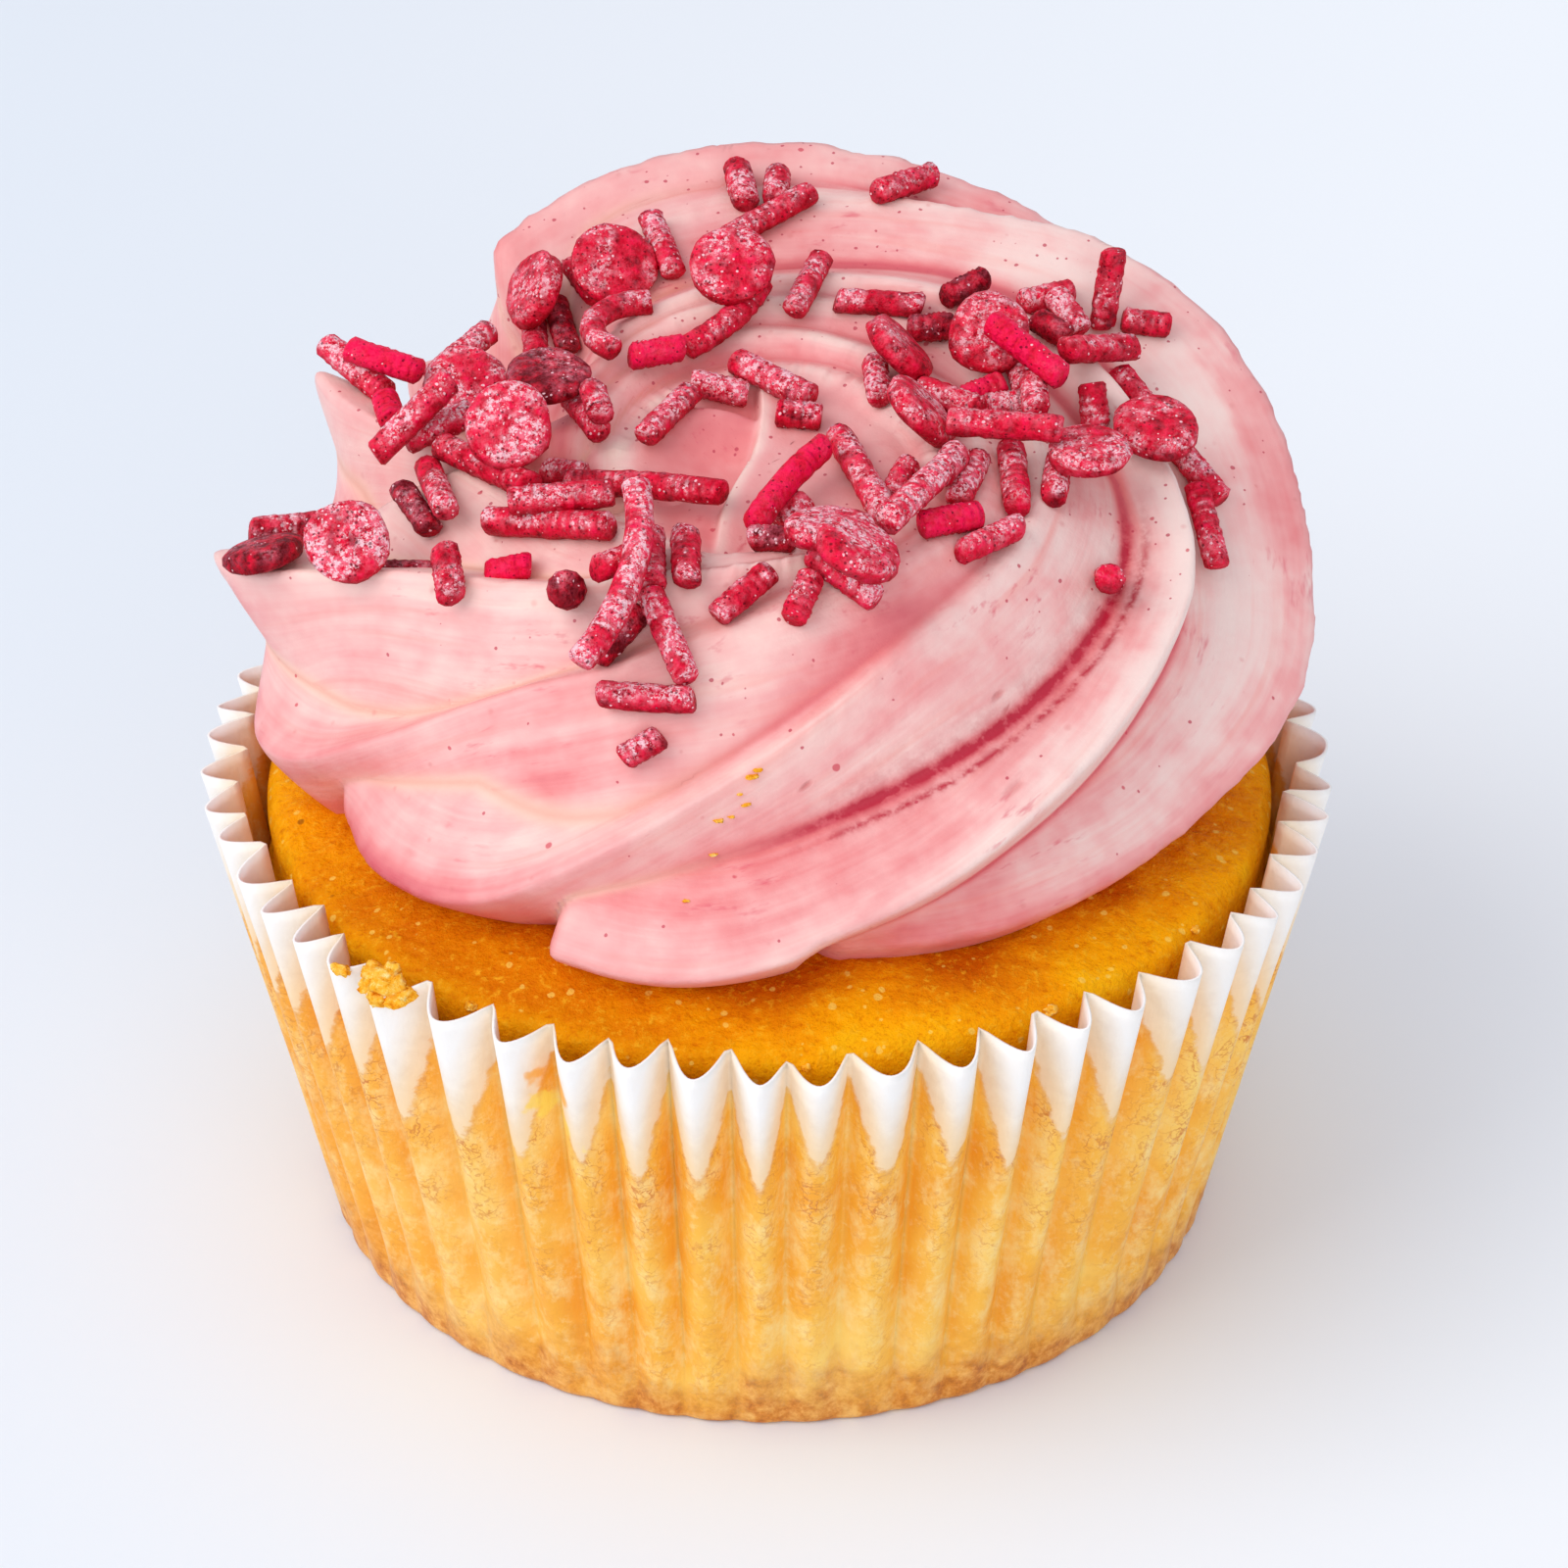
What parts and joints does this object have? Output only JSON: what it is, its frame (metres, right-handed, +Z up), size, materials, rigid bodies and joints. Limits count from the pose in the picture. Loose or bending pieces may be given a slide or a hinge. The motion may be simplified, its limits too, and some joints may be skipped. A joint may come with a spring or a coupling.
{
  "type": "cupcake",
  "caption": "Frosted cupcake in a pleated paper case, with a sponge dome under a wide piped swirl of icing whose ridges spiral in to the middle.",
  "frame": {"origin": "centre of the flat underside of the paper case, on the surface the cupcake stands on", "axes": "+Z up through the swirl of icing, -Y towards the front, where the icing is lowest, and +X to the right seen from the front"},
  "size_m": [0.07, 0.07, 0.0571],
  "materials": {
    "paper": "greasy golden paper, white along the pleated rim",
    "sponge": "golden brown fine crumb",
    "icing": "soft satin, pink streaked with cream"
  },
  "bodies": {
    "root": {"paper_case": "paper", "sponge": "sponge", "icing": "icing"}
  },
  "joints": []
}
